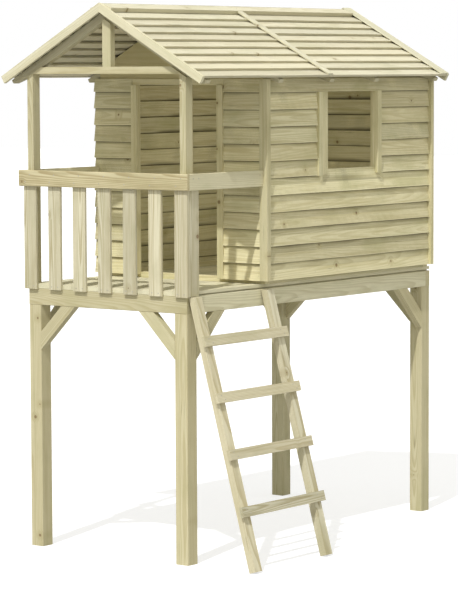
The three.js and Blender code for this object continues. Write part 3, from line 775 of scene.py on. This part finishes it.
# Ladder: two leaning stringers of planed pine that rest against the rim beam, and four flat
# rungs screwed across their outer edges.
ladder_lean = math.radians(15.5)
down_ladder = Vector((math.sin(ladder_lean), 0, -math.cos(ladder_lean)))
off_ladder = Vector((math.cos(ladder_lean), 0, math.sin(ladder_lean)))
for end in ("front", "rear"):
    season("ladder_stringer_" + end, down_ladder, ahead, trim_pine)
rungs = ["ladder_rung_%d" % number for number in range(1, 5)]
for rung in rungs:
    season(rung, ahead, down_ladder, trim_pine)

# Screws and nails: zinc-plated steel, driven flush. Screws hold rails, pickets, braces and
# rungs, and small nails hold the lapped boards to studs and rafters.
zinc_spots_per_metre = 420
zinc = bpy.data.materials.new("zinc_plated_steel")
zinc.use_nodes = True
zinc_nodes, zinc_links = zinc.node_tree.nodes, zinc.node_tree.links
zinc_shader = zinc_nodes["Principled BSDF"]
zinc_shader.inputs["Metallic"].default_value = 0.85
zinc_spots = zinc_nodes.new("ShaderNodeTexNoise")
zinc_spots.inputs["Scale"].default_value = zinc_spots_per_metre
zinc_tone = zinc_nodes.new("ShaderNodeMix")
zinc_tone.data_type = "RGBA"
zinc_tone.inputs["A"].default_value = (0.30, 0.29, 0.25, 1)
zinc_tone.inputs["B"].default_value = (0.50, 0.47, 0.38, 1)
zinc_links.new(zinc_spots.outputs["Fac"], zinc_tone.inputs["Factor"])
zinc_links.new(zinc_tone.outputs["Result"], zinc_shader.inputs["Base Color"])
zinc_rough = zinc_nodes.new("ShaderNodeMapRange")
zinc_rough.inputs["To Min"].default_value = 0.35
zinc_rough.inputs["To Max"].default_value = 0.6
zinc_links.new(zinc_spots.outputs["Fac"], zinc_rough.inputs[0])
zinc_links.new(zinc_rough.outputs[0], zinc_shader.inputs["Roughness"])
head_facets = 12
recess_share = 0.36
recess_point = 1.5
head_profile = ((1.0, -0.0006), (1.0, 0.0001), (0.82, 0.0005), (recess_share, 0.0006),
                (0.24, 0.0001))


def drive(name, heads, radius):
    # Makes round heads with a small cross recess, one at each place, facing outward.
    steel = bmesh.new()
    for place, facing in heads:
        facing = Vector(facing).normalized()
        aside = facing.orthogonal().normalized()
        other = facing.cross(aside)
        rings = []
        for share, lift in head_profile:
            ring = []
            for turn in range(head_facets):
                angle = turn * math.tau / head_facets
                reach = recess_point if share == recess_share and turn % 3 == 0 else 1
                spoke = aside * math.cos(angle) + other * math.sin(angle)
                ring.append(steel.verts.new(
                    Vector(place) + facing * lift + spoke * radius * share * reach))
            rings.append(ring)
        for near, far in zip(rings, rings[1:]):
            for turn in range(head_facets):
                steel.faces.new((near[turn], near[turn - 1], far[turn - 1], far[turn]))
        steel.faces.new(rings[0])
        steel.faces.new(rings[-1])
    bmesh.ops.recalc_face_normals(steel, faces=steel.faces[:])
    mesh = bpy.data.meshes.new(name)
    steel.to_mesh(mesh)
    steel.free()
    mesh.materials.append(zinc)
    made = bpy.data.objects.new(name, mesh)
    bpy.context.scene.collection.objects.link(made)
    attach(made, "root")


rail_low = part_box("front_rail")[0]
rail_screw_places = ((-0.018, 0.026), (0.018, 0.069))
picket_screw_aside = 0.024
picket_screw_height = deck_low[2] + 0.014
side_rail_screw_lift = 0.02
side_rail_screw_places = (0.035, 0.085, -0.03)
rail_screw_radius = 0.0038
rail_screws = []
for picket in pickets:
    low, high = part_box(picket)
    centre = (low[0] + high[0]) / 2
    for aside, lift in rail_screw_places:
        rail_screws.append(((centre + aside, rail_low[1], rail_low[2] + lift), -ahead))
    for aside in (-picket_screw_aside, picket_screw_aside):
        rail_screws.append(((centre + aside, low[1], picket_screw_height), -ahead))
for side, facing in (("left", -1), ("right", 1)):
    low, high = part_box("side_rail_" + side)
    face = low[0] if facing < 0 else high[0]
    height = (low[2] + high[2]) / 2 + side_rail_screw_lift
    for reach in side_rail_screw_places:
        along = (low if reach > 0 else high)[1] + reach
        rail_screws.append(((face, along, height), sideways * facing))
drive("rail_screws", rail_screws, rail_screw_radius)

brace_screw_places = (0.034, 0.058, 0.196, 0.222)
brace_screw_lift = 0.037
brace_screw_sunk = 0.0006
brace_screw_radius = 0.0042
brace_screws = []


def screw_brace(brace, run, facing, rising):
    low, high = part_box(brace)
    out = 1 - run
    for reach in brace_screw_places:
        place, way = [0, 0, low[2] + reach + brace_screw_lift], [0, 0, 0]
        place[run] = (low if rising > 0 else high)[run] + rising * reach
        place[out] = (low if facing < 0 else high)[out] - facing * brace_screw_sunk
        way[out] = facing
        brace_screws.append((place, way))


for end, end_facing in (("front", -1), ("rear", 1)):
    for side, side_facing in (("left", -1), ("right", 1)):
        screw_brace(f"brace_across_{end}_{side}", 0, end_facing, -side_facing)
        screw_brace(f"brace_along_{end}_{side}", 1, side_facing, -end_facing)
drive("brace_screws", brace_screws, brace_screw_radius)

rung_screw_places = ((-0.016, -0.013), (0.016, 0.013))
rung_face = 0.011
rung_screw_radius = 0.004
rung_screws = []
for rung in rungs:
    low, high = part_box(rung)
    centre = (Vector(low) + Vector(high)) / 2
    for end in ("front", "rear"):
        stringer_low, stringer_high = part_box("ladder_stringer_" + end)
        middle = (stringer_low[1] + stringer_high[1]) / 2
        for aside, drop in rung_screw_places:
            place = Vector((centre.x, middle + aside, centre.z))
            rung_screws.append((place + off_ladder * rung_face + down_ladder * drop, off_ladder))
drive("rung_screws", rung_screws, rung_screw_radius)

roof_nail_from_edge = 0.024
roof_nail_lift = deck_cover - roof_board_thickness * 0.28
lath_nails = 6
lath_nail_first, lath_nail_spacing = 0.04, 0.155
barge_nail_lift = deck_cover - 0.023
barge_nail_sunk = 0.0008
roof_nail_radius = 0.0026
roof_nails = []
for side, label in slopes:
    eave, climb, outward = slope_frame(side)
    for row in range(roof_rows):
        for part in rafters:
            for place in rafters[part]:
                roof_nails.append((
                    eave + climb * (row * roof_exposure + roof_nail_from_edge)
                    + outward * roof_nail_lift + ahead * (front_y + place + rafter_width / 2),
                    outward))
    for count in range(lath_nails):
        climbed = lath_nail_first + count * lath_nail_spacing
        roof_nails.append((eave + climb * climbed + outward * (deck_cover + lath_thickness)
                           + ahead * roof_joint, outward))
        for end, facing in (("front", -1), ("rear", 1)):
            low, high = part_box(f"barge_board_{end}_{label}")
            face = low[1] if facing < 0 else high[1]
            spot = eave + climb * climbed + outward * barge_nail_lift
            roof_nails.append(((spot.x, face - facing * barge_nail_sunk, spot.z), ahead * facing))
drive("roof_nails", roof_nails, roof_nail_radius)

nail_lift = 0.026
nail_sunk = 0.0002
wall_nail_radius = 0.0022
nail_out = siding_rise + siding_thickness - siding_rise * nail_lift / siding_width - nail_sunk
corner_nail = 0.067
window_nail = 0.36
end_nail = 0.6
door_nail = door_stud_set_back + stud_width / 2
nail_lines = (
    (sideways, right_x + nail_out, (cabin_front + corner_nail, window_middle - window_nail,
                                    window_middle + window_nail, cabin_rear - corner_nail)),
    (-sideways, left_x - nail_out, (cabin_front + corner_nail, left_middle_stud + stud_width / 2,
                                    cabin_rear - corner_nail)),
    (-ahead, cabin_front - nail_out, (middle_x - end_nail, door_left - door_nail,
                                      door_right + door_nail, middle_x + end_nail)),
    (ahead, cabin_rear + nail_out, rear_studs),
)
wall_nails = []
for row in range(siding_rows):
    height = siding_foot + row * siding_exposure + nail_lift
    for facing, face, places in nail_lines:
        for place in places:
            spot = (face, place, height) if facing.x else (place, face, height)
            wall_nails.append((spot, facing))
drive("wall_nails", wall_nails, wall_nail_radius)

# The studio: a pale seamless floor that keeps the house's shadow, white surroundings, a key lamp
# high at the front, a wide fill from the camera's side, a weak lamp in the cabin and an even sky.
floor_reach = 60
paper_glow = 0.62
floor_mesh = bpy.data.meshes.new("studio_floor")
floor_mesh.from_pydata([(floor_reach * x, floor_reach * y, 0) for x, y in
                        ((-1, -1), (1, -1), (1, 1), (-1, 1))], [], [(0, 1, 2, 3)])
studio_floor = bpy.data.objects.new("studio_floor", floor_mesh)
bpy.context.scene.collection.objects.link(studio_floor)


def seen_or_mirrored(nodes, links):
    path = nodes.new("ShaderNodeLightPath")
    seen = path.outputs["Is Camera Ray"]
    for ray in ("Is Glossy Ray", "Is Transmission Ray"):
        either = nodes.new("ShaderNodeMath")
        either.operation = "MAXIMUM"
        links.new(seen, either.inputs[0])
        links.new(path.outputs[ray], either.inputs[1])
        seen = either.outputs[0]
    return seen


paper = bpy.data.materials.new("studio_paper")
paper.use_nodes = True
paper_nodes, paper_links = paper.node_tree.nodes, paper.node_tree.links
paper_nodes.remove(paper_nodes["Principled BSDF"])
matt = paper_nodes.new("ShaderNodeBsdfDiffuse")
matt.inputs["Color"].default_value = (0.5, 0.5, 0.5, 1)
glow = paper_nodes.new("ShaderNodeEmission")
glow_level = paper_nodes.new("ShaderNodeMath")
glow_level.operation = "MULTIPLY"
glow_level.inputs[1].default_value = paper_glow
paper_links.new(seen_or_mirrored(paper_nodes, paper_links), glow_level.inputs[0])
paper_links.new(glow_level.outputs[0], glow.inputs["Strength"])
both = paper_nodes.new("ShaderNodeAddShader")
paper_links.new(matt.outputs[0], both.inputs[0])
paper_links.new(glow.outputs[0], both.inputs[1])
paper_links.new(both.outputs[0], paper_nodes["Material Output"].inputs["Surface"])
floor_mesh.materials.append(paper)

sky = bpy.data.worlds.new("studio_sky")
bpy.context.scene.world = sky
sky.use_nodes = True
sky_nodes, sky_links = sky.node_tree.nodes, sky.node_tree.links
backdrop = sky_nodes["Background"]
backdrop.inputs["Color"].default_value = (1, 1, 1, 1)
soft_sky = sky_nodes.new("ShaderNodeBackground")
soft_sky.inputs["Color"].default_value = (1, 0.99, 0.93, 1)
soft_sky.inputs["Strength"].default_value = 0.66
sky_mix = sky_nodes.new("ShaderNodeMixShader")
sky_links.new(seen_or_mirrored(sky_nodes, sky_links), sky_mix.inputs[0])
sky_links.new(soft_sky.outputs[0], sky_mix.inputs[1])
sky_links.new(backdrop.outputs[0], sky_mix.inputs[2])
sky_links.new(sky_mix.outputs[0], sky_nodes["World Output"].inputs["Surface"])


def hang_lamp(name, kind, strength, colour=(1, 1, 1)):
    lamp = bpy.data.lights.new(name, kind)
    lamp.energy = strength
    lamp.color = colour
    hung = bpy.data.objects.new(name, lamp)
    bpy.context.scene.collection.objects.link(hung)
    return lamp, hung


towards_key = Vector((0.265, -1, 1.367))
towards_fill = Vector((1, -1.1, 0.35))
in_cabin = Vector((middle_x + 0.1, (cabin_front + cabin_rear) / 2, floor_top + 0.65))
key_lamp, key = hang_lamp("key_lamp", "SUN", 2.9, (0.96, 0.965, 1))
key_lamp.angle = math.radians(1)
key.rotation_euler = towards_key.to_track_quat("Z", "Y").to_euler()
fill_lamp, fill = hang_lamp("fill_lamp", "SUN", 0.6)
fill_lamp.angle = math.radians(70)
fill.rotation_euler = towards_fill.to_track_quat("Z", "Y").to_euler()
cabin_lamp, inside_cabin = hang_lamp("cabin_lamp", "POINT", 6.5, (1, 0.985, 0.95))
cabin_lamp.shadow_soft_size = 0.4
inside_cabin.location = in_cabin
inside_cabin.visible_camera = False
bpy.context.scene.view_settings.view_transform = "Standard"
